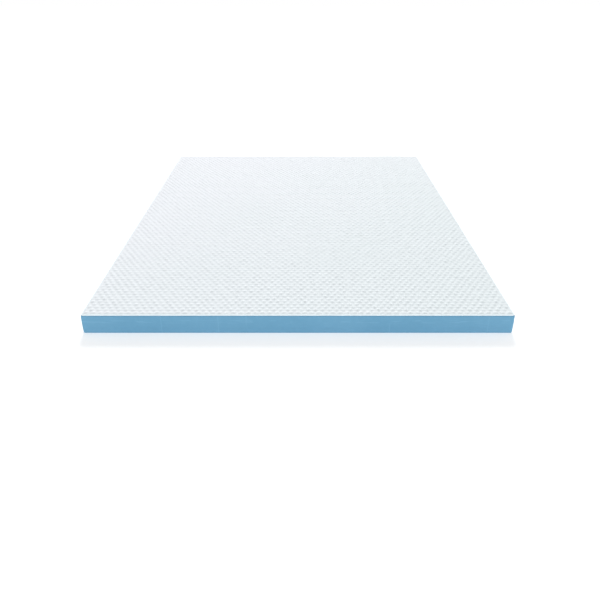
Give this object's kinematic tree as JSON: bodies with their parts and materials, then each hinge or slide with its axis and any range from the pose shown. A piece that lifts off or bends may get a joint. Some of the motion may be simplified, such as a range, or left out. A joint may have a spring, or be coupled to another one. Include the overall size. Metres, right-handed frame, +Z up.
{
  "type": "mattress topper",
  "caption": "Flat bed-size slab of foam with a white puffed-knit panel bonded over its top face; it rests on its flat underside.",
  "frame": {"origin": "centre of the flat underside", "axes": "+Y along the bed from the foot end to the head end, +X across the bed, +Z up through the knit top"},
  "size_m": [1.524, 2.032, 0.0779],
  "materials": {
    "foam": "matte blue open-cell foam, cut sides",
    "knit": "matte white puffed knit"
  },
  "bodies": {
    "root": {"foam_slab": "foam", "knit_panel": "knit"}
  },
  "joints": []
}
